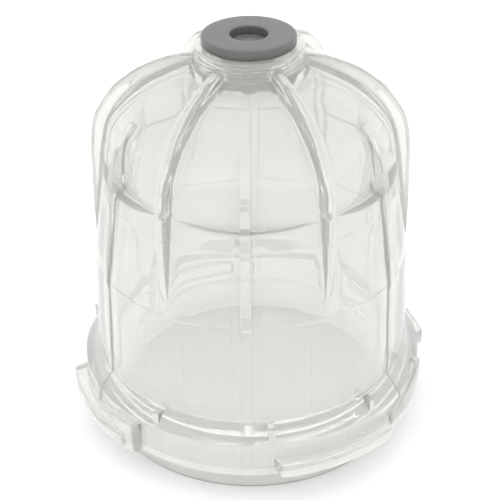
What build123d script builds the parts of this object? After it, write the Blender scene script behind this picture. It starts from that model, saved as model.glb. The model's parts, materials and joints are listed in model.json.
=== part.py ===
from build123d import *
from math import atan2, degrees, radians
import os

# Clear bowl of a compressed-air filter, standing on its mouth, with the drain fitting in the neck on top.
# Millimetres. Z = 0 is the end face of the mouth spigot, +Z runs up the axis to the drain, -Y is the front.
# Angles round the axis ("azimuths") count from the front, and grow towards +X.

os.makedirs("parts", exist_ok=True)

# ---- driving dimensions -------------------------------------------------------------------------------

# mouth and bayonet rim
SPIGOT_R = 40.5
SPIGOT_H = 8.4
MOUTH_R = 37.9
RIM_R = 45.5
SHOULDER_LOW_Z = 18.0
SHOULDER_TOP_Z = 22.4

# body wall and dome
BODY_LOW_R = 41.4
BODY_MID_R = 40.4
BODY_MID_Z = 49.5
LEDGE_R = 37.0
LEDGE_Z = 73.1
WALL = 2.8
PANEL_DISTANCE = 34.45
PANEL_R = 90.0
PANEL_LOW_Z = 74.2
PANEL_LEDGE_SLOPE = 0.43
PANEL_WALL = 2.6
NECK_R = 13.4
NECK_ROOT_Z = 99.6
NECK_TOP_Z = 104.4

# ribs
MAIN_RIBS = 6
MAIN_RIB_W = 3.0
MAIN_RIB_ROUND = 1.3
THIN_RIB_W = 2.4
THIN_RIB_ROUND = 0.35

# bayonet lugs
LUG_COUNT = 4
LUG_R = 48.6
LUG_Z = 9.8
LUG_H = 4.2
LUG_START = 7.8
LUG_END = 52.0
LUG_END_SLANT = 3.0
STOP_WIDTH = 11.0
STOP_AZIMUTH = -41.5
STOP_R = 48.0
STOP_TOP_Z = 17.8
RAMP_START = 52.0
RAMP_END = 76.0
RAMP_R = 46.3
RAMP_LOW_Z = 14.0
RAMP_RISE = 6.0
WEB_AZIMUTHS = (-31.0, 8.0, 44.5)
WEB_HALF_WIDTH = 1.2

# drain bush, M16 x 1 into the neck
FLANGE_R = 11.45
FLANGE_T = 2.3
THREAD_R = 8.0
THREAD_PITCH = 1.0
THREAD_DEPTH = 0.55
THREAD_GAP = 0.05
SHANK_END_Z = 95.4
PORT_R = 4.6
WEB_TOP_Z = 99.0
WEB_T = 1.2
SEAT_R = 5.6
GUIDE_R = 1.80
DRAIN_HOLES = 6
DRAIN_HOLE_R = 0.75
DRAIN_HOLE_PCR = 3.0

# flat gasket under the flange
GASKET_R = 10.4
GASKET_T = 1.0

# valve parts inside the bush
BUTTON_TOP_Z = 104.8
BUTTON_R = 4.5
BUTTON_T = 1.6
BUTTON_NOTCH_R = 0.75
BUTTON_NOTCHES = (60, 180, 300)
STEM_R = 1.75
STEM_END_Z = 94.2
SEAL_GAP = 0.05
SEAL_R = 4.6
SEAL_T = 1.2
WASHER_R = 4.2
WASHER_T = 0.6
CLIP_R = 3.1
CLIP_T = 0.45
CLIP_GROOVE_R = 1.30
CLIP_MOUTH_W = 2.5
GROOVE_PLAY = 0.02
SPRING_WIRE_R = 0.25
SPRING_R = 3.2
SPRING_TURNS = 4
SPRING_END_GAP = 0.02

FLANGE_TOP_Z = NECK_TOP_Z + FLANGE_T
THREAD_TOP_Z = NECK_TOP_Z - GASKET_T - 0.4
THREAD_LOW_Z = SHANK_END_Z + 0.6
WEB_LOW_Z = WEB_TOP_Z - WEB_T


# ---- helpers ------------------------------------------------------------------------------------------

def at(azimuth, shape):
    """Turns a shape that was drawn along +X to its azimuth, counted from the front (-Y)."""
    return Rot(0, 0, azimuth - 90) * shape


def upright(*lines):
    """Face in the XZ plane from the lines of a closed outline, given as radius and height."""
    return Plane.XZ * make_face([*lines])


def turned(*lines):
    """Solid of revolution about Z from the lines of a closed outline."""
    return revolve(upright(*lines), axis=Axis.Z)


def rod(radius, z_low, z_high):
    """Round bar about Z."""
    return Pos(0, 0, (z_low + z_high) / 2) * Cylinder(radius, z_high - z_low)


def ring(r_out, r_in, z_low, z_high):
    """Plain washer about Z."""
    return rod(r_out, z_low, z_high) - rod(r_in, z_low, z_high)


def sector(r_in, r_out, z_low, z_high, start, end, slant=0.0):
    """Piece of a ring between two azimuths. Its ends lean in by slant degrees at the outer radius."""
    def corner(radius, azimuth):
        return Vector(radius, 0).rotate(Axis.Z, azimuth - 90)

    middle = (start + end) / 2
    outer = ThreePointArc(
        corner(r_out, start + slant), corner(r_out, middle), corner(r_out, end - slant)
    )
    inner = ThreePointArc(corner(r_in, end), corner(r_in, middle), corner(r_in, start))
    edges = [outer, Line(outer @ 1, inner @ 0), inner, Line(inner @ 1, outer @ 0)]
    return Pos(0, 0, z_low) * extrude(make_face(edges), z_high - z_low)


def thread_flanks(radius, z_low, z_high):
    """Zigzag of thread crests and roots at one radius, from the top down, as points in the XZ plane."""
    turns = int((z_high - z_low) / THREAD_PITCH)
    points = []
    for turn in range(turns):
        crest_z = z_high - (turn + 0.5) * THREAD_PITCH
        points.append((radius - THREAD_DEPTH, crest_z + THREAD_PITCH / 2))
        points.append((radius, crest_z))
    points.append((radius - THREAD_DEPTH, z_high - turns * THREAD_PITCH))
    return points


# ---- bowl ---------------------------------------------------------------------------------------------

def bowl_blank():
    """Outside of the bowl without ribs or lugs: spigot, rim, shoulder, body wall, dome and neck."""
    foot = Polyline(
        (0, 0),
        (SPIGOT_R - 0.6, 0),
        (SPIGOT_R, 0.6),
        (SPIGOT_R, SPIGOT_H),
        (RIM_R - 0.4, SPIGOT_H),
        (RIM_R, SPIGOT_H + 0.4),
        (RIM_R - 0.3, SHOULDER_LOW_Z),
        (BODY_LOW_R, SHOULDER_TOP_Z),
        (BODY_MID_R, BODY_MID_Z),
        (LEDGE_R, LEDGE_Z),
    )
    dome = Spline(
        foot @ 1,
        (36.3, 79.0),
        (34.9, 83.5),
        (32.6, 87.5),
        (29.4, 91.0),
        (24.6, 94.8),
        (18.5, 97.9),
        (NECK_R + 0.9, NECK_ROOT_Z),
        tangents=[(-0.1, 1), (-0.35, 1)],
    )
    neck = Polyline(
        dome @ 1,
        (NECK_R, NECK_ROOT_Z + 1.6),
        (NECK_R, NECK_TOP_Z - 0.5),
        (NECK_R - 0.5, NECK_TOP_Z),
        (0, NECK_TOP_Z),
        (0, 0),
    )
    return turned(foot, dome, neck)


def bowl_hollow():
    """The air space of the bowl, with the steps of its moulding core."""
    wall = Polyline(
        (0, -1),
        (MOUTH_R + 1.2, -1),
        (MOUTH_R + 0.5, 0.1),
        (MOUTH_R, 0.8),
        (MOUTH_R - 0.2, SHOULDER_TOP_Z),
        (BODY_MID_R - WALL - 0.3, BODY_MID_Z - 2.0),
        (LEDGE_R - WALL + 0.8, LEDGE_Z - 5.8),
        (LEDGE_R - WALL + 0.4, LEDGE_Z - 5.4),
        (LEDGE_R - WALL, LEDGE_Z - 0.5),
    )
    dome = Spline(
        wall @ 1,
        (33.4, 78.0),
        (31.6, 83.0),
        (28.2, 87.6),
        (23.2, 91.5),
        (16.5, 94.6),
        (9.6, SHANK_END_Z + 0.6),
        tangents=[(-0.1, 1), (-1, 0.12)],
    )
    top = Polyline(dome @ 1, (0, SHANK_END_Z + 0.6), (0, -1))
    hollow = turned(wall, dome, top)
    panel = panel_block(PANEL_DISTANCE - PANEL_WALL, PANEL_R - PANEL_WALL, PANEL_LOW_Z - 1.2)
    for index in range(MAIN_RIBS):
        hollow -= at(index * 360 / MAIN_RIBS, panel)
    return hollow


def panel_block(distance, radius, low_z):
    """Block beyond the slightly curved face of one side panel, with a ledge that slopes down outwards."""
    reach = BODY_LOW_R - distance
    side = Polyline(
        (distance - 1, low_z + PANEL_LEDGE_SLOPE),
        (distance + reach, low_z - reach * PANEL_LEDGE_SLOPE),
        (distance + reach, 95),
        (distance - 1, 95),
        close=True,
    )
    block = extrude(upright(side), amount=20, both=True)
    return block - Pos(distance - radius, 0, low_z) * Cylinder(radius, 60)


def rib(edge_points, root_points, width, rounding):
    """Radial rib: a curved outer edge through points in the XZ plane, and a root inside the wall."""
    edge = Spline(*edge_points)
    root = Polyline(edge @ 1, *root_points, edge @ 0)
    blank = extrude(upright(edge, root), amount=width / 2, both=True)
    rims = [e for e in blank.edges() if e.geom_type == GeomType.BSPLINE]
    return fillet(rims, rounding)


def main_rib():
    """Deep rib from the neck over the dome, which runs out where the body widens."""
    edge = [
        (BODY_MID_R - 0.2, BODY_MID_Z - 2.0),
        (BODY_MID_R - 0.2, 62.0),
        (39.7, 77.0),
        (37.4, 87.3),
        (31.0, 95.1),
        (22.0, 100.2),
        (NECK_R - 0.6, 102.2),
    ]
    root = [
        (NECK_R - 0.6, 98.5),
        (20.0, 95.8),
        (27.8, 89.4),
        (32.3, 81.0),
        (35.0, 71.0),
        (38.0, BODY_MID_Z - 2.0),
    ]
    return rib(edge, root, MAIN_RIB_W, MAIN_RIB_ROUND)


def thin_rib():
    """Narrow rib in the middle of a panel, proud of the wall from the dome down to the body."""
    edge = [
        (BODY_MID_R + 0.8, BODY_MID_Z - 0.9),
        (40.5, 56.5),
        (39.35, 65.0),
        (38.3, 74.0),
        (37.2, 80.0),
        (34.9, 86.0),
        (31.2, 90.9),
    ]
    root = [
        (29.2, 89.4),
        (32.5, 83.0),
        (33.4, 74.0),
        (36.0, 65.0),
        (38.0, BODY_MID_Z - 1.0),
    ]
    return rib(edge, root, THIN_RIB_W, THIN_RIB_ROUND)


def rim_rib():
    """Low continuation of the narrow rib, down the body, over the shoulder and down the rim."""
    side = Polyline(
        (BODY_MID_R - 1, BODY_MID_Z - 0.5),
        (BODY_MID_R + 0.3, BODY_MID_Z - 1.5),
        (BODY_LOW_R + 0.3, SHOULDER_TOP_Z + 0.4),
        (RIM_R + 0.15, SHOULDER_LOW_Z + 0.1),
        (RIM_R + 0.35, LUG_Z + 0.8),
        (RIM_R - 1, LUG_Z),
        (BODY_LOW_R - 1, SHOULDER_TOP_Z),
        close=True,
    )
    return extrude(upright(side), amount=THIN_RIB_W / 2, both=True)


def lug(start):
    """Bayonet lug with slanted ends and broken outer edges."""
    end = start + LUG_END - LUG_START
    blank = sector(RIM_R - 1, LUG_R, LUG_Z, LUG_Z + LUG_H, start, end, LUG_END_SLANT)
    outer = [e for e in blank.edges() if e.geom_type == GeomType.CIRCLE and e.radius > RIM_R]
    return chamfer(outer, 0.5)


def stop_block(azimuth):
    """Block at the end of a lug, which stops the bowl's turn in its head."""
    start = azimuth - STOP_WIDTH / 2
    end = azimuth + STOP_WIDTH / 2
    blank = sector(RIM_R - 1, STOP_R, SPIGOT_H + 0.4, STOP_TOP_Z, start, end, 1.0)
    top = blank.faces().sort_by(Axis.Z)[-1]
    return chamfer(top.edges().filter_by(GeomType.CIRCLE).sort_by(SortBy.LENGTH)[-1], 0.8)


def ramp(start):
    """Raised band beyond a lug, whose top edge climbs to the shoulder."""
    width = RAMP_END - RAMP_START
    low_z = SPIGOT_H + 0.8
    band = sector(RIM_R - 1, RAMP_R, low_z, RAMP_LOW_Z + RAMP_RISE, start, start + width, 0.5)
    slope = degrees(atan2(RAMP_RISE, radians(width) * RAMP_R))
    above = Rot(slope, 0, 0) * Pos(0, 0, RIM_R) * Box(RIM_R, 2 * RIM_R, 2 * RIM_R)
    middle = Pos(RAMP_R, 0, RAMP_LOW_Z + RAMP_RISE / 2)
    return band - at(start + width / 2, middle * above)


def shoulder_web(azimuth):
    """Small web across the sloping shoulder."""
    start = azimuth - WEB_HALF_WIDTH
    end = azimuth + WEB_HALF_WIDTH
    return sector(BODY_LOW_R - 1, RIM_R - 0.9, SHOULDER_LOW_Z - 1, SHOULDER_TOP_Z - 0.5, start, end)


def neck_bore():
    """Threaded bore of the neck, with the gasket's counterbore on top."""
    seat_z = NECK_TOP_Z - GASKET_T + 0.05
    low = SHANK_END_Z - 1
    points = thread_flanks(THREAD_R + THREAD_GAP, THREAD_LOW_Z, THREAD_TOP_Z)
    outline = Polyline(
        (0, NECK_TOP_Z + 1),
        (GASKET_R + 0.1, NECK_TOP_Z + 1),
        (GASKET_R + 0.1, seat_z),
        (THREAD_R + 0.3, seat_z),
        *points,
        (THREAD_R + 0.2, low),
        (0, low),
        close=True,
    )
    return turned(outline)


def bowl():
    """Clear plastic bowl, one moulding."""
    body = bowl_blank()
    pitch = 360 / MAIN_RIBS
    panel = panel_block(PANEL_DISTANCE, PANEL_R, PANEL_LOW_Z)
    for index in range(MAIN_RIBS):
        body -= at(index * pitch, panel)
    for index in range(MAIN_RIBS):
        body += at(index * pitch + pitch / 2, main_rib())
        body += at(index * pitch, thin_rib())
        body += at(index * pitch, rim_rib())
    for index in range(LUG_COUNT):
        body += lug(LUG_START + index * 360 / LUG_COUNT)
    for half_turn in (0, 180):
        body += stop_block(STOP_AZIMUTH + half_turn)
        body += ramp(RAMP_START + half_turn)
        for azimuth in WEB_AZIMUTHS:
            body += shoulder_web(azimuth + half_turn)
    return body - bowl_hollow() - neck_bore()


# ---- drain fitting ------------------------------------------------------------------------------------

def drain_bush():
    """Flanged bush that screws into the neck and carries the drain valve."""
    outline = Polyline(
        (0, FLANGE_TOP_Z),
        (FLANGE_R, FLANGE_TOP_Z),
        (FLANGE_R, NECK_TOP_Z),
        (THREAD_R - THREAD_DEPTH, NECK_TOP_Z),
        *thread_flanks(THREAD_R, THREAD_LOW_Z, THREAD_TOP_Z),
        (THREAD_R - THREAD_DEPTH, SHANK_END_Z + 0.3),
        (THREAD_R - THREAD_DEPTH - 0.3, SHANK_END_Z),
        (0, SHANK_END_Z),
        close=True,
    )
    body = turned(outline)
    circles = body.edges().filter_by(GeomType.CIRCLE)
    body = fillet(circles.filter_by(lambda edge: edge.radius > FLANGE_R - 0.1), 0.45)
    body -= rod(PORT_R, WEB_TOP_Z, FLANGE_TOP_Z + 1)
    body -= rod(SEAT_R, SHANK_END_Z - 1, WEB_LOW_Z)
    body -= rod(GUIDE_R, WEB_LOW_Z - 1, WEB_TOP_Z + 1)
    drain_hole = Pos(DRAIN_HOLE_PCR, 0, 0) * rod(DRAIN_HOLE_R, WEB_LOW_Z - 1, WEB_TOP_Z + 1)
    for index in range(DRAIN_HOLES):
        body -= at(index * 360 / DRAIN_HOLES, drain_hole)
    top_circles = body.edges().filter_by(GeomType.CIRCLE).group_by(Axis.Z)[-1]
    return chamfer(top_circles.filter_by(lambda edge: edge.radius < PORT_R + 0.1), 0.25)


def bush_gasket():
    """Flat rubber ring between the flange and the neck."""
    low = NECK_TOP_Z - GASKET_T + 0.05
    return ring(GASKET_R, THREAD_R + 0.15, low, NECK_TOP_Z)


def push_stem():
    """Push button and stem in one piece, with notches in its edge and a clip groove at its end."""
    low = BUTTON_TOP_Z - BUTTON_T
    head = rod(BUTTON_R, low, BUTTON_TOP_Z)
    head = chamfer(head.edges().sort_by(Axis.Z)[-1], 0.3)
    notch = Pos(BUTTON_R, 0, 0) * rod(BUTTON_NOTCH_R, low - 1, BUTTON_TOP_Z + 1)
    for azimuth in BUTTON_NOTCHES:
        head -= at(azimuth, notch)
    groove_low = clip_low_z() - GROOVE_PLAY
    groove_high = clip_low_z() + CLIP_T + GROOVE_PLAY
    stem = rod(STEM_R, STEM_END_Z, BUTTON_TOP_Z - 0.5)
    stem = chamfer(stem.edges().sort_by(Axis.Z)[0], 0.35)
    stem -= ring(STEM_R + 1, CLIP_GROOVE_R, groove_low, groove_high)
    return head + stem


def seal_top_z():
    """Top face of the seal, just under the seat face of the web."""
    return WEB_LOW_Z - SEAL_GAP


def clip_low_z():
    """Lower face of the retaining clip."""
    return seal_top_z() - SEAL_T - WASHER_T - CLIP_T


def valve_seal():
    """Rubber disc that closes the drain holes from inside the bowl."""
    top = seal_top_z()
    return ring(SEAL_R, STEM_R, top - SEAL_T, top)


def seal_washer():
    """Metal washer that backs the seal."""
    top = seal_top_z() - SEAL_T
    return ring(WASHER_R, STEM_R, top - WASHER_T, top)


def retaining_clip():
    """Open clip in the stem's groove, which holds the seal and washer on."""
    low = clip_low_z()
    body = ring(CLIP_R, CLIP_GROOVE_R, low, low + CLIP_T)
    mouth = Pos(CLIP_R, 0, low) * Box(2 * CLIP_R, CLIP_MOUTH_W, 4 * CLIP_T)
    return body - mouth


def return_spring():
    """Compression spring between the web and the button."""
    low = WEB_TOP_Z + SPRING_WIRE_R + SPRING_END_GAP
    height = BUTTON_TOP_Z - BUTTON_T - SPRING_WIRE_R - SPRING_END_GAP - low
    path = Helix(pitch=height / SPRING_TURNS, height=height, radius=SPRING_R)
    section = Plane(origin=path @ 0, z_dir=path % 0) * Circle(SPRING_WIRE_R)
    return Pos(0, 0, low) * sweep(section, path=path)


PARTS = {
    "bowl": bowl,
    "drain_bush": drain_bush,
    "bush_gasket": bush_gasket,
    "push_stem": push_stem,
    "return_spring": return_spring,
    "valve_seal": valve_seal,
    "seal_washer": seal_washer,
    "retaining_clip": retaining_clip,
}

for name, make in PARTS.items():
    export_step(make(), f"parts/{name}.step")
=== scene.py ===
"""Looks of the clear filter bowl with its drain valve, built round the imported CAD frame."""

import json
import math

import bmesh
import bpy
import numpy as np
from mathutils import Matrix, Vector


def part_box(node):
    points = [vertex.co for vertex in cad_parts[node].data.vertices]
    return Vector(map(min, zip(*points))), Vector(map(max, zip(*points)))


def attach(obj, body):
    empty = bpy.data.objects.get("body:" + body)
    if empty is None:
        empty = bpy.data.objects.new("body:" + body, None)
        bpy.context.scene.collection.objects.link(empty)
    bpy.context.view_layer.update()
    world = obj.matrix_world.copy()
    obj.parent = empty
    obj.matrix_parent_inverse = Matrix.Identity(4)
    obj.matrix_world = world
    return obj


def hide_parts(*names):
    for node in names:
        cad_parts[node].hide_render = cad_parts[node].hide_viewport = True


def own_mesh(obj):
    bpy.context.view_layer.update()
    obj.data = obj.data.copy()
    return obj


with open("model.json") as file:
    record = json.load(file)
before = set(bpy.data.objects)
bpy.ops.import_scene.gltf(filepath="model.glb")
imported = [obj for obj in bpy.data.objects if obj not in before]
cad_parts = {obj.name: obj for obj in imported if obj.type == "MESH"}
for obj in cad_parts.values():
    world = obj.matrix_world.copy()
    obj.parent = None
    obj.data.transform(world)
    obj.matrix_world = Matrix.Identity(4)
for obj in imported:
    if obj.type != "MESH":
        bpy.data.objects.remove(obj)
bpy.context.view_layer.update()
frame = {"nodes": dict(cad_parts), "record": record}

MM = 0.001

# ---- dimensions in millimetres ------------------------------------------------------------------------

# The main sizes are the CAD model's. BODY_STEP is made only here, the threads are rings there, and some
# fillets and small heights differ. Azimuths count from the front (-Y) and grow towards +X.

SPIGOT_R = 40.5
SPIGOT_H = 8.4
MOUTH_R = 37.9
RIM_R = 45.5
SHOULDER_LOW_Z = 18.0
SHOULDER_TOP_Z = 22.4
BODY_LOW_R = 41.4
BODY_MID_R = 40.4
BODY_MID_Z = 49.5
BODY_STEP = 0.14
LEDGE_R = 37.0
LEDGE_Z = 73.1
PANEL_DISTANCE = 34.45
PANEL_R = 90.0
PANEL_LOW_Z = 74.2
PANEL_LEDGE_SLOPE = 0.43
PANEL_WALL = 2.6
WALL = 2.8
NECK_R = 13.4
NECK_ROOT_Z = 99.6
NECK_TOP_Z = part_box("bowl")[1].z / MM
SHANK_END_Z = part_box("drain_bush")[0].z / MM
FLANGE_TOP_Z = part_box("drain_bush")[1].z / MM
FLANGE_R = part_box("drain_bush")[1].x / MM
GASKET_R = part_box("bush_gasket")[1].x / MM
GASKET_LOW_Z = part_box("bush_gasket")[0].z / MM

# bayonet rim; azimuths and slants in degrees, and each root is sunk into the rim or body
LUG_Z = 9.8
LUG_TOP_Z = 14.0
LUG_R = 48.6
LUG_ROOT_R = RIM_R - 1.2
LUG_START = 7.8
LUG_END = 52
LUG_SLANT = 3.0
STOP_R = 48.0
STOP_ROOT_R = RIM_R - 1.3
STOP_LOW_Z = SPIGOT_H + 0.4
STOP_TOP_Z = 17.8
STOP_START = -47
STOP_END = -36
STOP_SLANT = 1.0
RAMP_R = 46.3
RAMP_ROOT_R = RIM_R - 1.4
RAMP_LOW_Z = SPIGOT_H + 0.8
RAMP_END = 76
RAMP_RISE = 6.0
RAMP_SLANT = 0.5
WEB_AZIMUTHS = (-31, 8, 44.5)
WEB_HALF = 1.2
WEB_R = RIM_R - 0.9
WEB_ROOT_R = BODY_LOW_R - 1.5

# M16 x 1 thread
THREAD_R = 8.0
THREAD_PITCH = 1.0
THREAD_DEPTH = 0.55
THREAD_GAP = 0.05
THREAD_LOW_Z = SHANK_END_Z + 0.6
THREAD_TOP_Z = GASKET_LOW_Z - 0.35
THREAD_FADE = 0.6
CREST_SHARE = 0.08

# inside of the bush
PORT_R = 4.6
WEB_TOP_Z = 99.0
WEB_LOW_Z = 97.8
SEAT_R = 5.6
GUIDE_R = 1.80
DRAIN_HOLES = 6
DRAIN_HOLE_R = 0.75
DRAIN_CIRCLE_R = 3.0
BUSH_COLUMNS = 180

# return spring
WIRE_R = 0.25
WIRE_SIDES = 12
SPRING_TURNS = 4.0
SPRING_STEPS = 200
SPRING_EASE = 0.35

# ---- profiles -----------------------------------------------------------------------------------------


def rounded(corners, spacing, steps=4):
    """Dense points of an outline of (radius, height, fillet) corners, with arcs at the filleted ones."""
    points = []
    for index, (r, z, fillet) in enumerate(corners):
        here = np.array([r, z], float)
        if fillet <= 0 or index in (0, len(corners) - 1):
            points.append(here)
            continue
        before = np.array(corners[index - 1][:2]) - here
        after = np.array(corners[index + 1][:2]) - here
        before /= np.linalg.norm(before)
        after /= np.linalg.norm(after)
        half = math.acos(float(np.clip(before @ after, -1, 1))) / 2
        reach = fillet / math.tan(half)
        centre = here + (before + after) / np.linalg.norm(before + after) * (fillet / math.sin(half))
        start = here + before * reach - centre
        end = here + after * reach - centre
        turn = math.atan2(start[0] * end[1] - start[1] * end[0], float(start @ end))
        for step in range(steps + 1):
            angle = turn * step / steps
            c, s = math.cos(angle), math.sin(angle)
            points.append(centre + np.array([start[0] * c - start[1] * s, start[0] * s + start[1] * c]))
    return subdivided(points, spacing)


def subdivided(points, spacing):
    """The same outline with long stretches divided."""
    dense = [points[0]]
    for a, b in zip(points, points[1:]):
        parts = max(1, math.ceil(np.linalg.norm(b - a) / spacing))
        dense += [a + (b - a) * k / parts for k in range(1, parts + 1)]
    return dense


def smooth_curve(points, per_span=10):
    """Catmull-Rom curve through points, with its ends' own chords as tangents."""
    p = [np.array(q, float) for q in points]
    p = [2 * p[0] - p[1], *p, 2 * p[-1] - p[-2]]
    curve = []
    for i in range(1, len(p) - 2):
        for k in range(per_span):
            t = k / per_span
            a, b, c, d = p[i - 1], p[i], p[i + 1], p[i + 2]
            square = 2 * a - 5 * b + 4 * c - d
            cube = 3 * b - a - 3 * c + d
            curve.append(0.5 * (2 * b + (c - a) * t + square * t**2 + cube * t**3))
    curve.append(p[-2])
    return curve


def along(curve):
    """Share of the curve's length at each of its points."""
    steps = np.linalg.norm(np.diff(np.array(curve), axis=0), axis=1)
    total = np.concatenate([[0], np.cumsum(steps)])
    return total / total[-1]


def soft_min(a, b, width):
    """Smaller of a and b, blended over a width."""
    h = np.clip(0.5 + 0.5 * (b - a) / width, 0, 1)
    return b * (1 - h) + a * h - width * h * (1 - h)


def outer_profile():
    """Outside of the bowl from the mouth's edge to the neck's top edge."""
    foot = rounded(
        [
            (MOUTH_R + 0.9, 0, 0),
            (SPIGOT_R - 0.05, 0, 0.55),
            (SPIGOT_R, SPIGOT_H, 0.35),
            (RIM_R, SPIGOT_H, 0.45),
            (RIM_R - 0.3, SHOULDER_LOW_Z, 0.7),
            (BODY_LOW_R, SHOULDER_TOP_Z, 0.9),
            (BODY_MID_R, BODY_MID_Z, 0.12),
            (BODY_MID_R - BODY_STEP, BODY_MID_Z + 0.3, 0.12),
            (LEDGE_R + 0.1, LEDGE_Z - 0.8, 0),
        ],
        2.0,
    )
    ledge = rounded([(LEDGE_R + 0.1, LEDGE_Z - 0.8, 0), (LEDGE_R - 0.2, PANEL_LOW_Z + 0.8, 0)], 0.2)
    dome = smooth_curve(
        [
            (LEDGE_R - 0.2, PANEL_LOW_Z + 0.8),
            (36.3, 79.0),
            (34.9, 83.5),
            (32.6, 87.5),
            (29.4, 91.0),
            (24.6, 94.8),
            (18.9, 97.7),
            (NECK_R + 1.9, NECK_ROOT_Z - 0.4),
        ],
        8,
    )
    neck = rounded(
        [
            (NECK_R + 1.9, NECK_ROOT_Z - 0.4, 0),
            (NECK_R + 0.15, NECK_ROOT_Z + 0.4, 1.3),
            (NECK_R, NECK_TOP_Z, 0.5),
            (GASKET_R + 0.1, NECK_TOP_Z, 0),
        ],
        0.6,
    )
    return foot + ledge[1:] + dome[1:] + neck[1:]


def bore_profile():
    """Counterbore for the gasket, down to the start of the thread."""
    return rounded(
        [
            (GASKET_R + 0.1, NECK_TOP_Z, 0),
            (GASKET_R + 0.1, GASKET_LOW_Z, 0.1),
            (THREAD_R + 0.3, GASKET_LOW_Z, 0.1),
            (THREAD_R + 0.05, THREAD_TOP_Z + 0.2, 0),
        ],
        0.8,
        2,
    )


def inner_profile():
    """Inside of the bowl from the bore's lower end to the mouth's inner edge."""
    dome = smooth_curve(
        [
            (9.8, SHANK_END_Z + 0.55),
            (16.5, 94.6),
            (23.2, 91.5),
            (28.2, 87.6),
            (31.6, 83.0),
            (33.4, 78.0),
            (LEDGE_R - WALL - 0.1, PANEL_LOW_Z - 0.2),
        ],
        8,
    )
    ledge = rounded(
        [(LEDGE_R - WALL - 0.1, PANEL_LOW_Z - 0.2, 0), (LEDGE_R - WALL + 0.2, LEDGE_Z - 2.6, 0)],
        0.2,
    )
    wall = rounded(
        [
            (LEDGE_R - WALL + 0.2, LEDGE_Z - 2.6, 0),
            (LEDGE_R - WALL + 0.4, LEDGE_Z - 5.4, 0.15),
            (LEDGE_R - WALL + 0.8, LEDGE_Z - 5.8, 0.15),
            (BODY_MID_R - WALL - 0.3, BODY_MID_Z - 2.0, 3.0),
            (MOUTH_R - 0.2, SHOULDER_TOP_Z, 20.0),
            (MOUTH_R, 0.9, 0.4),
            (MOUTH_R + 0.9, 0, 0),
        ],
        3.0,
    )
    return [np.array([8.3, SHANK_END_Z + 0.55])] + dome + ledge[1:] + wall[1:-1]


# ---- the bowl's grid ----------------------------------------------------------------------------------

# Six main ribs, with a panel between each two and a narrow rib in the middle of each panel.
MAIN_RIBS = 6
HALF_SECTOR = math.pi / MAIN_RIBS
MAIN_HALF = 1.5
MAIN_TOP_ROUND = 1.3
MAIN_ROOT_ROUND = 0.9
THIN_HALF = 1.2
THIN_TOP_ROUND = 0.2
THIN_ROOT_ROUND = 0.12
RIB_DRAFT = 0.02
RIB_FLAT_SHARE = 0.6
LOW_RIB_H = 0.35
NECK_FACE_R = NECK_R - 0.6
TINY = 1e-6

# Panels end inside PANEL_TOP_R. The width of their blend into the dome grows over BLEND_RISE above the ledge.
PANEL_STEPS = 9
PANEL_TOP_R = 22
PANEL_BLEND = 0.3
BLEND_GROWTH = 0.55
BLEND_RISE = 4.0


def rib_section(half, top_round, root_round, height):
    """Half of a rib's cross-section from its middle to its foot: (sideways offset, height) pairs."""
    scale = min(1.0, height / (top_round + root_round))
    top, root = top_round * scale, root_round * scale
    section = [(0.0, height), ((half - top_round) * RIB_FLAT_SHARE, height)]
    for share in (0.0, 0.25, 0.5, 0.75, 1.0):
        a = share * math.pi / 2
        section.append((half - top_round + top_round * math.sin(a), height - top + top * math.cos(a)))
    section.append((half + RIB_DRAFT, (height - top + root) / 2))
    for share in (0.0, 0.33, 0.67, 1.0):
        a = share * math.pi / 2
        section.append((half + root_round * (1 - math.cos(a)), root * (1 - math.sin(a))))
    return section


# Outer edges of the ribs as (radius, height), and marks that pair profile heights with heights on an edge.
MAIN_EDGE = smooth_curve(
    [
        (BODY_MID_R - 0.2, BODY_MID_Z - 2.0),
        (BODY_MID_R - 0.2, 62.0),
        (40.0, 71.0),
        (39.6, 79.0),
        (38.2, 85.5),
        (34.1, 92.0),
        (30.8, 95.1),
        (26.2, 98.2),
        (20.0, 100.7),
        (16.0, 101.6),
        (NECK_R - 0.05, 102.1),
    ]
)
MAIN_MARKS = [
    (47.5, 47.5),
    (73.0, 73.0),
    (79.0, 80.2),
    (83.5, 86.2),
    (87.5, 91.0),
    (91.0, 95.0),
    (94.8, 98.3),
    (97.7, 100.6),
    (100.4, 101.5),
    (102.1, 102.1),
]
THIN_EDGE = smooth_curve(
    [
        (BODY_MID_R + 0.8, BODY_MID_Z - 0.9),
        (40.5, 56.5),
        (39.35, 65.0),
        (38.3, 74.0),
        (37.2, 80.0),
        (34.9, 86.0),
        (31.2, 90.9),
    ]
)
THIN_MARKS = [(48.5, 48.6), (74.0, 74.0), (83.5, 84.5), (90.0, 90.9)]


def match(profile, edge, marks):
    """For each profile point, the point of the edge curve that it stands under, or itself outside the rib.

    marks pairs profile heights with edge heights, from the rib's lower end to its upper end.
    """
    profile = np.array(profile)
    edge = np.array(edge)
    share = along(edge)
    low, high = marks[0][0], marks[-1][0]
    knots = [p for p, _ in marks]
    shares = [float(np.interp(e, edge[:, 1], share)) for _, e in marks]
    tops = profile.copy()
    for i, (r, z) in enumerate(profile):
        if low <= z <= high and r > NECK_FACE_R:
            at = np.interp(z, knots, shares)
            top = [np.interp(at, share, edge[:, 0]), np.interp(at, share, edge[:, 1])]
            if top[0] + top[1] > r + z:
                tops[i] = top
    return tops


def bowl_points():
    """Grid of the bowl's outside: a row for each profile point, as (radius, azimuth, height) points."""
    profile = np.array(outer_profile())
    main_top = match(profile, MAIN_EDGE, MAIN_MARKS)
    thin_top = match(profile, THIN_EDGE, THIN_MARKS)
    return [bowl_row(r, z, top_m, top_t) for (r, z), top_m, top_t in zip(profile, main_top, thin_top)]


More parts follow.
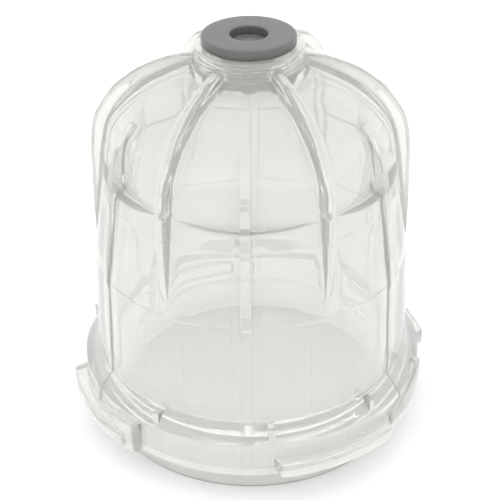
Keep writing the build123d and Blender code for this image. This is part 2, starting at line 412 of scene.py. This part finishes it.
def rim_lift(z):
    """Height of the low rib that runs on from each narrow rib, down the body and over the rim."""
    above_lug = (z - LUG_Z + 0.6) / 0.8
    below_middle = BODY_MID_Z + 1.0 - z
    return LOW_RIB_H * max(0.0, min(1.0, above_lug, below_middle))


def cut_radius(r, z, angle, distance, curve_r, low):
    """Radius of a round surface where a slightly curved panel with a sloping ledge cuts it."""
    if z < low - 3 or r < PANEL_TOP_R:
        return r
    centre = distance - curve_r
    face = centre * math.cos(angle) + math.sqrt(curve_r**2 - (centre * math.sin(angle)) ** 2)
    step = (distance + (low - z) / PANEL_LEDGE_SLOPE) / math.cos(angle)
    cut = -soft_min(-face, -step, PANEL_BLEND)
    blend = PANEL_BLEND + BLEND_GROWTH * min(BLEND_RISE, max(0.0, z - low - 0.8))
    return float(soft_min(r, cut, blend))


def surface_radius(r, z, angle_from_thin):
    """Radius of the rib-free outside at an angle (radians) from the middle of its panel."""
    return cut_radius(r, z, angle_from_thin, PANEL_DISTANCE, PANEL_R, PANEL_LOW_Z)


def inner_radius(r, z, angle_from_thin):
    """Radius of the inside, whose panels lie one wall behind the outer ones."""
    low = PANEL_LOW_Z - 1.2
    return cut_radius(r, z, angle_from_thin, PANEL_DISTANCE - PANEL_WALL, PANEL_R - PANEL_WALL, low)


def inner_row(r, z):
    """Row of the inside, where the slightly curved panels show too."""
    row = []
    for angle in column_angles():
        from_thin = (angle + HALF_SECTOR) % (2 * HALF_SECTOR) - HALF_SECTOR
        row.append((inner_radius(r, z, from_thin), angle, z))
    return row


def rib_rise(r, z, top, angle, lift):
    """Height and direction of a rib over the surface at an angle; lift is its height past the rib's ends."""
    gap = np.array([top[0] - surface_radius(r, z, angle), top[1] - z])
    if np.linalg.norm(np.array(top) - [r, z]) < TINY:
        gap = np.array([lift, 0.0])
    height = float(np.linalg.norm(gap))
    direction = gap / height if height > TINY else np.array([1.0, 0.0])
    return height, direction


def bowl_row(r, z, top_m, top_t):
    """One closed row of points round the bowl, from the edge points of the main and the narrow ribs."""
    shrink = min(1.0, r / NECK_R)
    lift = rim_lift(z) if r > BODY_MID_R - 0.3 else 0.0
    main_h, main_dir = rib_rise(r, z, top_m, HALF_SECTOR, 0.0)
    thin_h, thin_dir = rib_rise(r, z, top_t, 0.0, lift)
    thin = rib_section(THIN_HALF, THIN_TOP_ROUND, THIN_ROOT_ROUND, thin_h)
    main = rib_section(MAIN_HALF, MAIN_TOP_ROUND, MAIN_ROOT_ROUND, main_h)

    def place(offset, height, direction, from_thin):
        """Point at a sideways offset from a rib's middle plane."""
        offset *= shrink
        angle = math.asin(min(1.0, offset / r))
        panel_angle = angle if from_thin else HALF_SECTOR - angle
        base = surface_radius(r, z, panel_angle)
        x = math.sqrt(max(0.0, base**2 - offset**2)) + direction[0] * height
        return math.hypot(x, offset), math.atan2(offset, x), z + direction[1] * height

    half = [place(offset, height, thin_dir, True) for offset, height in thin]
    start = half[-1][1]
    tail = []
    for offset, height in reversed(main):
        radius, angle, level = place(offset, height, main_dir, False)
        tail.append((radius, HALF_SECTOR - angle, level))
    end = tail[0][1]
    for k in range(1, PANEL_STEPS):
        angle = start + (end - start) * k / PANEL_STEPS
        half.append((surface_radius(r, z, angle), angle, z))
    half += tail
    sector = half[:-1] + [(p[0], 2 * HALF_SECTOR - p[1], p[2]) for p in reversed(half)][:-1]
    row = []
    for index in range(MAIN_RIBS):
        turn = index * 2 * HALF_SECTOR
        row += [(radius, angle + turn, level) for radius, angle, level in sector]
    return row


def column_angles():
    """Azimuths of the grid's columns where the bowl is plain round."""
    return [p[1] for p in bowl_row(NECK_R, NECK_TOP_Z, (NECK_R, NECK_TOP_Z), (NECK_R, NECK_TOP_Z))]


def plain_row(r, z):
    """A round row with the same columns."""
    return [(r, angle, z) for angle in column_angles()]


def thread_rows(radius, depth, z_high, z_low, angles, downwards=True, per_turn=8):
    """Rows of a helical thread whose crests touch the radius, faded out at both ends."""
    rows = []
    count = int((z_high - z_low) / THREAD_PITCH * per_turn)
    for i in range(count + 1):
        z = z_high - (z_high - z_low) * i / count
        fade = min(1.0, (z_high - z) / THREAD_FADE, (z - z_low) / THREAD_FADE)
        row = []
        for angle in angles:
            phase = (z / THREAD_PITCH - angle / (2 * math.pi)) % 1.0
            wave = abs(2 * phase - 1)
            flank = min(1.0, max(0.0, (wave - CREST_SHARE) / (1 - 2 * CREST_SHARE)))
            row.append((radius - depth * (1 - flank * fade), angle, z))
        rows.append(row)
    return rows if downwards else rows[::-1]


def polar(radius, azimuth, z):
    """Point in metres from a radius and height in millimetres and an azimuth in radians."""
    return radius * MM * math.sin(azimuth), -radius * MM * math.cos(azimuth), z * MM


def mesh_from_rows(name, rows):
    """Closed mesh of quads between rows of (radius, azimuth, height) points. The last row joins the first."""
    count = len(rows[0])
    vertices = [polar(*point) for row in rows for point in row]
    faces = []
    for i in range(len(rows)):
        j = (i + 1) % len(rows)
        for k in range(count):
            m = (k + 1) % count
            faces.append((i * count + k, i * count + m, j * count + m, j * count + k))
    mesh = bpy.data.meshes.new(name)
    mesh.from_pydata(vertices, [], faces)
    mesh.validate()
    return linked(name, mesh)


def linked(name, mesh):
    """New object of the scene with this mesh."""
    obj = bpy.data.objects.new(name, mesh)
    bpy.context.scene.collection.objects.link(obj)
    return obj


def outward(obj):
    """Points all faces outwards."""
    bm = bmesh.new()
    bm.from_mesh(obj.data)
    bmesh.ops.recalc_face_normals(bm, faces=bm.faces)
    bm.to_mesh(obj.data)
    bm.free()


def smooth(obj, angle=38):
    """Smooth shading with the sharp edges kept."""
    obj.data.shade_smooth()
    obj.data.set_sharp_from_angle(angle=math.radians(angle))


def combined(target, tool, operation):
    """Applies a Boolean of the tool to the target and removes the tool."""
    modifier = target.modifiers.new("join", "BOOLEAN")
    modifier.operation = operation
    modifier.solver = "MANIFOLD"
    modifier.object = tool
    graph = bpy.context.evaluated_depsgraph_get()
    mesh = bpy.data.meshes.new_from_object(target.evaluated_get(graph))
    target.modifiers.clear()
    old = target.data
    target.data = mesh
    bpy.data.meshes.remove(old)
    bpy.data.objects.remove(tool)


# ---- rim details --------------------------------------------------------------------------------------


def arc_block(name, r_in, r_out, low, high, start, end, slant, bevel, rise=0.0):
    """Piece of a ring between two azimuths in degrees, with rounded edges.

    slant draws the outer corners in at both ends, in degrees. rise is how much the top climbs to the end.
    """
    steps = max(4, int(abs(end - start) / 1.5))
    bm = bmesh.new()
    sections = []
    for k in range(steps + 1):
        share = k / steps
        ring = []
        high_here = high + rise * share
        for radius, z in ((r_in, low), (r_out, low), (r_out, high_here), (r_in, high_here)):
            lean = slant if radius == r_out else 0.0
            azimuth = math.radians(start + lean + (end - start - 2 * lean) * share)
            ring.append(bm.verts.new(polar(radius, azimuth, z)))
        sections.append(ring)
    for a, b in zip(sections, sections[1:]):
        for k in range(4):
            m = (k + 1) % 4
            bm.faces.new((a[k], a[m], b[m], b[k]))
    bm.faces.new(sections[0][::-1])
    bm.faces.new(sections[-1])
    bmesh.ops.recalc_face_normals(bm, faces=bm.faces)
    sharp = [e for e in bm.edges if e.is_manifold and e.calc_face_angle() > math.radians(30)]
    bmesh.ops.bevel(
        bm, geom=sharp, offset=bevel * MM, segments=3, profile=0.5, affect="EDGES", clamp_overlap=True,
    )
    bmesh.ops.recalc_face_normals(bm, faces=bm.faces)
    mesh = bpy.data.meshes.new(name)
    bm.to_mesh(mesh)
    bm.free()
    return linked(name, mesh)


def rim_details():
    """Lugs, stop blocks, ramps and shoulder webs, as closed pieces to join to the bowl."""
    made = []
    for turn in range(0, 360, 90):
        lug = arc_block(
            "lug", LUG_ROOT_R, LUG_R, LUG_Z, LUG_TOP_Z,
            LUG_START + turn, LUG_END + turn, LUG_SLANT, bevel=0.45,
        )
        made.append(lug)
    for turn in (0, 180):
        stop = arc_block(
            "stop", STOP_ROOT_R, STOP_R, STOP_LOW_Z, STOP_TOP_Z,
            turn + STOP_START, turn + STOP_END, STOP_SLANT, bevel=0.5,
        )
        ramp = arc_block(
            "ramp", RAMP_ROOT_R, RAMP_R, RAMP_LOW_Z, LUG_TOP_Z,
            LUG_END + turn, RAMP_END + turn, RAMP_SLANT, bevel=0.3, rise=RAMP_RISE,
        )
        made += [stop, ramp]
        for azimuth in WEB_AZIMUTHS:
            web = arc_block(
                "web", WEB_ROOT_R, WEB_R, SHOULDER_LOW_Z - 1, SHOULDER_TOP_Z - 0.5,
                azimuth - WEB_HALF + turn, azimuth + WEB_HALF + turn, 0.0, bevel=0.25,
            )
            made.append(web)
    return made


# ---- materials ----------------------------------------------------------------------------------------


def new_material(name):
    """New node material, with its nodes, its links and its Principled shader."""
    material = bpy.data.materials.new(name)
    material.use_nodes = True
    nodes = material.node_tree.nodes
    shader = nodes["Principled BSDF"]
    return material, nodes, material.node_tree.links, shader


def noise_node(nodes, links, scale, detail=4.0):
    """Noise in the object's own space."""
    place = nodes.new("ShaderNodeTexCoord")
    texture = nodes.new("ShaderNodeTexNoise")
    texture.inputs["Scale"].default_value = scale
    texture.inputs["Detail"].default_value = detail
    links.new(place.outputs["Object"], texture.inputs["Vector"])
    return texture


def ramp_node(nodes, links, source, stops):
    """Colour ramp fed by a value."""
    ramp = nodes.new("ShaderNodeValToRGB")
    elements = ramp.color_ramp.elements
    for element, (position, colour) in zip(elements, (stops[0], stops[-1])):
        element.position = position
        element.color = (*colour, 1)
    for position, colour in stops[1:-1]:
        element = elements.new(position)
        element.color = (*colour, 1)
    links.new(source, ramp.inputs["Fac"])
    return ramp


def range_node(nodes, links, source, low, high):
    """Maps a 0 to 1 value to a range."""
    mapped = nodes.new("ShaderNodeMapRange")
    mapped.inputs["To Min"].default_value = low
    mapped.inputs["To Max"].default_value = high
    links.new(source, mapped.inputs["Value"])
    return mapped.outputs["Result"]


def bump_node(nodes, links, height, distance, strength):
    """Bump from a height."""
    bump = nodes.new("ShaderNodeBump")
    bump.inputs["Distance"].default_value = distance
    bump.inputs["Strength"].default_value = strength
    links.new(height, bump.inputs["Height"])
    return bump.outputs["Normal"]


# PAINTED_LIGHT_LOW_TINT is painted light: a whiter tint that lightens the clear plastic low down.
PAINTED_LIGHT_LOW_TINT = (0.975, 0.98, 0.955)
UPPER_DARK = (0.862, 0.867, 0.838)
UPPER_LIGHT = (0.884, 0.889, 0.86)
PLASTIC_TRANSMISSION = 0.74
PLASTIC_IOR = 1.585
RUBBER_DARK = (0.012, 0.012, 0.012)
RUBBER_LIGHT = (0.03, 0.03, 0.029)
FLOOR_DARK = (0.975, 0.975, 0.975)
FLOOR_LIGHT = (0.985, 0.985, 0.985)
HORIZON = (1.0, 1.0, 1.0)
LOW_SKY = (0.95, 0.95, 0.95)
ZENITH = (0.78, 0.78, 0.78)
WORLD_STRENGTH = 1.45


def clear_plastic():
    """Clear polycarbonate: faint flow marks, haze, a slight warm grey tint, and painted light that makes it
    whiter low down.
    """
    material, nodes, links, shader = new_material("clear_plastic")
    cloud = noise_node(nodes, links, scale=30.0, detail=3.0)
    tint = ramp_node(nodes, links, cloud.outputs["Fac"], [(0.3, UPPER_DARK), (0.7, UPPER_LIGHT)])
    place = nodes.new("ShaderNodeTexCoord")
    split = nodes.new("ShaderNodeSeparateXYZ")
    links.new(place.outputs["Object"], split.inputs["Vector"])
    # Painted light: the tint fades from the whiter low tint at the shoulder to the plastic's own tint at the
    # ledge.
    height = nodes.new("ShaderNodeMapRange")
    height.inputs["From Min"].default_value = SHOULDER_TOP_Z * MM
    height.inputs["From Max"].default_value = LEDGE_Z * MM
    links.new(split.outputs["Z"], height.inputs["Value"])
    painted_light_mix = nodes.new("ShaderNodeMixRGB")
    painted_light_mix.inputs["Color1"].default_value = (*PAINTED_LIGHT_LOW_TINT, 1)
    links.new(height.outputs["Result"], painted_light_mix.inputs["Fac"])
    links.new(tint.outputs["Color"], painted_light_mix.inputs["Color2"])
    links.new(painted_light_mix.outputs["Color"], shader.inputs["Base Color"])
    haze = noise_node(nodes, links, scale=60.0, detail=5.0)
    roughness = range_node(nodes, links, haze.outputs["Fac"], low=0.015, high=0.05)
    links.new(roughness, shader.inputs["Roughness"])
    flow = noise_node(nodes, links, scale=90.0, detail=2.0)
    relief = bump_node(nodes, links, flow.outputs["Fac"], distance=0.0004, strength=0.12)
    links.new(relief, shader.inputs["Normal"])
    shader.inputs["Transmission Weight"].default_value = PLASTIC_TRANSMISSION
    shader.inputs["IOR"].default_value = PLASTIC_IOR
    return material


def moulded_plastic(name, dark, light):
    """Opaque moulded plastic with a fine spark-eroded grain."""
    material, nodes, links, shader = new_material(name)
    cloud = noise_node(nodes, links, scale=220.0, detail=6.0)
    tint = ramp_node(nodes, links, cloud.outputs["Fac"], [(0.25, dark), (0.75, light)])
    links.new(tint.outputs["Color"], shader.inputs["Base Color"])
    grain = noise_node(nodes, links, scale=2600.0, detail=3.0)
    roughness = range_node(nodes, links, grain.outputs["Fac"], low=0.24, high=0.36)
    links.new(roughness, shader.inputs["Roughness"])
    relief = bump_node(nodes, links, grain.outputs["Fac"], distance=0.0001, strength=0.25)
    links.new(relief, shader.inputs["Normal"])
    return material


def rubber():
    """Black rubber with faint bloom."""
    material, nodes, links, shader = new_material("seal_rubber")
    cloud = noise_node(nodes, links, scale=400.0, detail=5.0)
    tint = ramp_node(nodes, links, cloud.outputs["Fac"], [(0.3, RUBBER_DARK), (0.8, RUBBER_LIGHT)])
    links.new(tint.outputs["Color"], shader.inputs["Base Color"])
    roughness = range_node(nodes, links, cloud.outputs["Fac"], low=0.55, high=0.8)
    links.new(roughness, shader.inputs["Roughness"])
    relief = bump_node(nodes, links, cloud.outputs["Fac"], distance=0.0001, strength=0.3)
    links.new(relief, shader.inputs["Normal"])
    return material


def turned_metal(name, dark, light, roughness):
    """Metal with fine machining rings round the axis."""
    material, nodes, links, shader = new_material(name)
    place = nodes.new("ShaderNodeTexCoord")
    rings = nodes.new("ShaderNodeTexWave")
    rings.wave_type = "RINGS"
    rings.rings_direction = "Z"
    rings.inputs["Scale"].default_value = 900.0
    rings.inputs["Distortion"].default_value = 1.5
    links.new(place.outputs["Object"], rings.inputs["Vector"])
    tint = ramp_node(nodes, links, rings.outputs["Fac"], [(0.0, dark), (1.0, light)])
    links.new(tint.outputs["Color"], shader.inputs["Base Color"])
    varied = range_node(nodes, links, rings.outputs["Fac"], low=roughness, high=roughness + 0.12)
    links.new(varied, shader.inputs["Roughness"])
    relief = bump_node(nodes, links, rings.outputs["Fac"], distance=0.00005, strength=0.3)
    links.new(relief, shader.inputs["Normal"])
    shader.inputs["Metallic"].default_value = 1.0
    return material


def painted(obj, material):
    """Gives an object one material."""
    obj.data.materials.clear()
    obj.data.materials.append(material)
    return obj


# ---- pieces -------------------------------------------------------------------------------------------


def make_bowl(material):
    """The clear bowl: ribbed outside, threaded neck, stepped inside and bayonet rim."""
    rows = bowl_points()
    rows += [plain_row(r, z) for r, z in bore_profile()[1:]]
    rows += thread_rows(THREAD_R + THREAD_GAP, THREAD_DEPTH, THREAD_TOP_Z, THREAD_LOW_Z, column_angles())
    rows += [inner_row(r, z) for r, z in inner_profile()]
    bowl = mesh_from_rows("bowl_moulding", rows)
    outward(bowl)
    for detail in rim_details():
        combined(bowl, detail, "UNION")
    smooth(bowl)
    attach(bowl, "bowl_body")
    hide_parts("bowl")
    return painted(bowl, material)


def bush_profile():
    """Bush from the top of its shank's thread over the flange and down into the port."""
    return rounded(
        [
            (THREAD_R - THREAD_DEPTH, THREAD_TOP_Z + 0.05, 0),
            (THREAD_R - THREAD_DEPTH, NECK_TOP_Z, 0.15),
            (FLANGE_R, NECK_TOP_Z, 0.4),
            (FLANGE_R, FLANGE_TOP_Z, 0.55),
            (PORT_R, FLANGE_TOP_Z, 0.3),
            (PORT_R, WEB_TOP_Z, 0.1),
            (GUIDE_R, WEB_TOP_Z, 0.1),
            (GUIDE_R, WEB_LOW_Z, 0.1),
            (SEAT_R, WEB_LOW_Z, 0.1),
            (SEAT_R, SHANK_END_Z, 0.15),
            (THREAD_R - THREAD_DEPTH, SHANK_END_Z, 0.3),
            (THREAD_R - THREAD_DEPTH, THREAD_LOW_Z - 0.05, 0),
        ],
        1.5,
        5,
    )


def make_bush(material):
    """The flanged bush with a real helical thread and its drain holes."""
    angles = [math.tau * k / BUSH_COLUMNS for k in range(BUSH_COLUMNS)]
    rows = [[(r, angle, z) for angle in angles] for r, z in bush_profile()]
    rows += thread_rows(THREAD_R, THREAD_DEPTH, THREAD_TOP_Z, THREAD_LOW_Z, angles, downwards=False)
    bush = mesh_from_rows("bush_moulding", rows)
    outward(bush)
    for index in range(DRAIN_HOLES):
        azimuth = math.tau * index / DRAIN_HOLES
        drill = round_bar("drill", DRAIN_HOLE_R, WEB_LOW_Z - 0.5, WEB_TOP_Z + 0.5, sides=20)
        drill.data.transform(Matrix.Translation(polar(DRAIN_CIRCLE_R, azimuth, 0)))
        combined(bush, drill, "DIFFERENCE")
    smooth(bush, 32)
    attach(bush, "bowl_body")
    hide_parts("drain_bush")
    return painted(bush, material)


def round_bar(name, radius, low, high, sides):
    """Closed round bar about Z."""
    bm = bmesh.new()
    bmesh.ops.create_cone(
        bm, cap_ends=True, segments=sides, radius1=radius * MM, radius2=radius * MM, depth=(high - low) * MM,
        matrix=Matrix.Translation((0, 0, (low + high) / 2 * MM)),
    )
    mesh = bpy.data.meshes.new(name)
    bm.to_mesh(mesh)
    bm.free()
    return linked(name, mesh)


def make_spring(material):
    """Return spring between the web and the button, with its coils a little closer at both ends."""
    low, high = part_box("return_spring")
    radius = high.x / MM - WIRE_R
    bottom = low.z / MM + WIRE_R
    travel = (high.z - low.z) / MM - 2 * WIRE_R
    steps, sides = SPRING_STEPS, WIRE_SIDES
    vertices = []
    for i in range(steps + 1):
        share = i / steps
        angle = math.tau * SPRING_TURNS * share
        rise = share * share * (3 - 2 * share) * SPRING_EASE + share * (1 - SPRING_EASE)
        centre = Vector((radius * math.sin(angle), -radius * math.cos(angle), bottom + travel * rise)) * MM
        out = Vector((math.sin(angle), -math.cos(angle), 0))
        for k in range(sides):
            turn = math.tau * k / sides
            spoke = out * math.cos(turn) + Vector((0, 0, 1)) * math.sin(turn)
            vertices.append(centre + spoke * WIRE_R * MM)
    faces = []
    for i in range(steps):
        for k in range(sides):
            m = (k + 1) % sides
            faces.append((i * sides + k, i * sides + m, (i + 1) * sides + m, (i + 1) * sides + k))
    faces.append(tuple(range(sides)))
    faces.append(tuple(steps * sides + k for k in reversed(range(sides))))
    mesh = bpy.data.meshes.new("spring_coil")
    mesh.from_pydata(vertices, [], faces)
    spring = linked("spring_coil", mesh)
    outward(spring)
    smooth(spring)
    painted(spring, material)
    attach(spring, "bowl_body")
    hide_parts("return_spring")
    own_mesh(spring)
    return spring


def paint_cad_nodes(materials):
    """Materials of the CAD nodes that stay."""
    slots = {s["node"]: s["material_slot"] for s in frame["record"]["subparts"]}
    for node in ("bush_gasket", "push_stem", "valve_seal", "seal_washer", "retaining_clip"):
        obj = frame["nodes"][node]
        for slot in obj.material_slots:
            slot.material = materials[slots[node]]
        if not obj.material_slots:
            obj.data.materials.append(materials[slots[node]])


# ---- stage --------------------------------------------------------------------------------------------


def make_floor():
    """Plain pale floor."""
    bm = bmesh.new()
    bmesh.ops.create_circle(bm, cap_ends=True, segments=96, radius=4.0)
    mesh = bpy.data.meshes.new("floor")
    bm.to_mesh(mesh)
    bm.free()
    floor = linked("floor", mesh)
    material, nodes, links, shader = new_material("floor_paper")
    cloud = noise_node(nodes, links, scale=8.0, detail=3.0)
    tint = ramp_node(nodes, links, cloud.outputs["Fac"], [(0.3, FLOOR_DARK), (0.7, FLOOR_LIGHT)])
    links.new(tint.outputs["Color"], shader.inputs["Base Color"])
    shader.inputs["Roughness"].default_value = 0.9
    floor.data.materials.append(material)


def make_light(name, size, power, place, target):
    """Soft square light, with its size in metres and its power in watts."""
    data = bpy.data.lights.new(name, "AREA")
    data.shape = "SQUARE"
    data.size = size
    data.energy = power
    light = bpy.data.objects.new(name, data)
    bpy.context.scene.collection.objects.link(light)
    light.location = place
    light.rotation_euler = (Vector(target) - Vector(place)).to_track_quat("-Z", "Y").to_euler()


def make_world():
    """Studio that is white at the horizon and greyer overhead."""
    world = bpy.data.worlds.new("studio")
    bpy.context.scene.world = world
    world.use_nodes = True
    nodes, links = world.node_tree.nodes, world.node_tree.links
    background = nodes["Background"]
    place = nodes.new("ShaderNodeTexCoord")
    split = nodes.new("ShaderNodeSeparateXYZ")
    links.new(place.outputs["Generated"], split.inputs["Vector"])
    ramp = ramp_node(nodes, links, split.outputs["Z"], [(0.0, HORIZON), (0.35, LOW_SKY), (0.85, ZENITH)])
    links.new(ramp.outputs["Color"], background.inputs["Color"])
    background.inputs["Strength"].default_value = WORLD_STRENGTH


# camera: angles in radians, place in metres, lens and sensor in millimetres
CAMERA_HEADING = 0.036
CAMERA_PITCH = 0.565
CAMERA_ROLL = -0.011
CAMERA_PLACE = (0.00966, -0.27593, 0.22099)
CAMERA_LENS = 89.6
CAMERA_SENSOR = 36.0


def make_camera():
    """Camera in front of the bowl and above it, turned a little to the left."""
    heading = Matrix.Rotation(CAMERA_HEADING, 3, "Z")
    forward = Vector((0, math.cos(CAMERA_PITCH), -math.sin(CAMERA_PITCH)))
    level = Vector((1, 0, 0))
    up = level.cross(forward)
    right = level * math.cos(CAMERA_ROLL) + up * math.sin(CAMERA_ROLL)
    above = -level * math.sin(CAMERA_ROLL) + up * math.cos(CAMERA_ROLL)
    turned = [heading @ v for v in (right, above, -forward)]
    data = bpy.data.cameras.new("camera")
    data.lens = CAMERA_LENS
    data.sensor_width = CAMERA_SENSOR
    data.clip_start = 0.01
    camera = bpy.data.objects.new("camera", data)
    bpy.context.scene.collection.objects.link(camera)
    camera.matrix_world = Matrix.Translation(CAMERA_PLACE) @ Matrix(turned).transposed().to_4x4()
    bpy.context.scene.camera = camera


LIGHT_TARGET = (0, 0, 0.05)

materials = {
    "clear_plastic": clear_plastic(),
    "grey_plastic": moulded_plastic("grey_plastic", (0.094, 0.096, 0.089), (0.117, 0.119, 0.111)),
    "button_plastic": moulded_plastic("button_plastic", (0.12, 0.12, 0.116), (0.155, 0.155, 0.15)),
    "seal_rubber": rubber(),
    "spring_steel": turned_metal("spring_steel", (0.45, 0.45, 0.44), (0.62, 0.62, 0.6), 0.22),
    "washer_brass": turned_metal("washer_brass", (0.6, 0.42, 0.16), (0.78, 0.58, 0.27), 0.25),
}
make_bowl(materials["clear_plastic"])
make_bush(materials["grey_plastic"])
make_spring(materials["spring_steel"])
paint_cad_nodes(materials)
make_floor()
make_world()
make_light("key", size=1.4, power=1.6, place=(-0.5, -0.5, 0.8), target=LIGHT_TARGET)
make_light("fill", size=1.2, power=0.8, place=(0.7, -0.3, 0.5), target=LIGHT_TARGET)
make_camera()
bpy.context.scene.view_settings.view_transform = "Standard"
